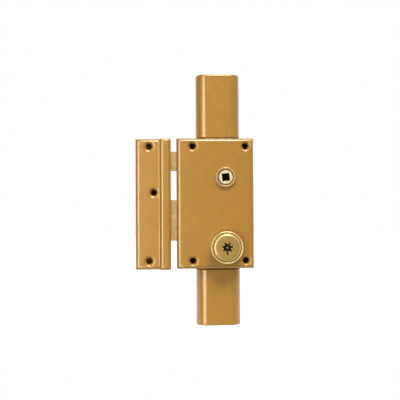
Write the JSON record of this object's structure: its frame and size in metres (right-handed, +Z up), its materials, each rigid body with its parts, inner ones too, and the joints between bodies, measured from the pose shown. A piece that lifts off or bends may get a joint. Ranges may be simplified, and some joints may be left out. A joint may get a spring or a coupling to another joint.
{
  "type": "surface mounted multipoint lock",
  "caption": "Surface mounted door lock with a sprung latch, a deadbolt, covered vertical rods and a separate strike, worked by a key cylinder and a square spindle.",
  "frame": {"origin": "middle of the case's back face, where it meets the door", "axes": "+Z up along the rods, +X away from the strike, +Y into the door; the front looks along -Y"},
  "size_m": [0.1272, 0.046, 0.2723],
  "materials": {
    "gold_lacquer": "semi-gloss gold bronze lacquer with a fine metallic grain",
    "bush_lacquer": "satin pale gold lacquer",
    "hub_brass": "polished brass",
    "cylinder_brass": "satin turned brass",
    "nut_brass": "as machined",
    "zinc_plate": "zinc plated sheet",
    "sleeve_steel": "turned steel",
    "bright_steel": "bright turned steel",
    "bolt_bronze": "sand cast brass, dull",
    "rack_steel": "stamped steel, zinc plated",
    "gear_steel": "sintered steel",
    "slider_brass": "stamped brass",
    "spring_steel": "bright spring wire",
    "guide_plastic": "black moulded plastic"
  },
  "bodies": {
    "lock_case": {"axle_clip": "bright_steel", "base_plate": "zinc_plate", "case_cover": "gold_lacquer", "cylinder_housing": "cylinder_brass", "cylinder_nut": "nut_brass", "deadbolt_guide": "zinc_plate", "gear_axle": "bright_steel", "latch_guide": "zinc_plate", "latch_spring": "spring_steel", "lower_cover": "gold_lacquer", "lower_rod_guide": "guide_plastic", "screw_sleeve_bottom_left": "sleeve_steel", "screw_sleeve_bottom_right": "sleeve_steel", "screw_sleeve_top_left": "sleeve_steel", "screw_sleeve_top_right": "sleeve_steel", "spindle_bush": "bush_lacquer", "spring_post": "zinc_plate", "strike_cover": "gold_lacquer", "strike_plate": "zinc_plate", "strike_sleeve_bottom": "sleeve_steel", "strike_sleeve_middle": "sleeve_steel", "strike_sleeve_top": "sleeve_steel", "upper_cover": "gold_lacquer", "upper_rod_guide": "guide_plastic"},
    "deadbolt": {"deadbolt_head": "bolt_bronze", "deadbolt_rack": "rack_steel", "deadbolt_rivets": "bright_steel"},
    "gears": {"drive_wheel": "gear_steel", "rack_pinion": "gear_steel"},
    "key_rotor": {"cylinder_rotor": "cylinder_brass", "drive_pinion": "gear_steel", "key_pin": "bright_steel", "slider_spring": "spring_steel"},
    "key_sliders": {"slider_1": "slider_brass", "slider_2": "slider_brass", "slider_3": "slider_brass", "slider_4": "slider_brass", "slider_5": "slider_brass", "slider_6": "slider_brass"},
    "upper_rod": {"upper_rack": "rack_steel", "upper_bar": "rack_steel", "upper_rivets": "bright_steel"},
    "lower_rod": {"lower_rack": "rack_steel", "lower_bar": "rack_steel", "lower_rivets": "bright_steel"},
    "latch": {"latch_head": "bolt_bronze", "latch_tail": "rack_steel", "latch_rivets": "bright_steel"},
    "hub": {"spindle_hub": "hub_brass"}
  },
  "joints": [
    {"name": "deadbolt_slide", "type": "slide", "parent": "lock_case", "child": "deadbolt", "axis": [1, 0, 0], "range_m": [0, 0.01755]},
    {"name": "gear_turn", "type": "hinge", "parent": "lock_case", "child": "gears", "pos_m": [0.004, -0.01, -0.0199], "axis": [0, 1, 0], "range_deg": [0, 76]},
    {"name": "key_turn", "type": "hinge", "parent": "lock_case", "child": "key_rotor", "pos_m": [0.011, -0.03, -0.0466], "axis": [0, -1, 0], "range_deg": [0, 361]},
    {"name": "upper_rod_slide", "type": "slide", "parent": "lock_case", "child": "upper_rod", "axis": [0, 0, -1], "range_m": [0, 0.01765]},
    {"name": "lower_rod_slide", "type": "slide", "parent": "lock_case", "child": "lower_rod", "axis": [0, 0, 1], "range_m": [0, 0.01765]},
    {"name": "latch_slide", "type": "slide", "parent": "lock_case", "child": "latch", "axis": [1, 0, 0], "range_m": [0, 0.013], "stiffness_N_per_m": 300, "springref_m": -0.01, "deforming": ["latch_spring"]},
    {"name": "hub_turn", "type": "hinge", "parent": "lock_case", "child": "hub", "pos_m": [0.011, -0.015, 0.0278], "axis": [0, 1, 0], "range_deg": [0, 40.2]},
    {"name": "slider_press", "type": "slide", "parent": "key_rotor", "child": "key_sliders", "axis": [0, 1, 0], "range_m": [0, 0.0045], "stiffness_N_per_m": 200, "springref_m": -0.004, "deforming": ["slider_spring"]}
  ],
  "couplings": [
    {"joint": "gear_turn", "follows": "deadbolt_slide", "rad_per_m": 75.357},
    {"joint": "key_turn", "follows": "deadbolt_slide", "rad_per_m": 357.94},
    {"joint": "upper_rod_slide", "follows": "deadbolt_slide", "ratio": 1},
    {"joint": "lower_rod_slide", "follows": "deadbolt_slide", "ratio": 1},
    {"joint": "hub_turn", "follows": "latch_slide", "rad_per_m": 53.476}
  ]
}
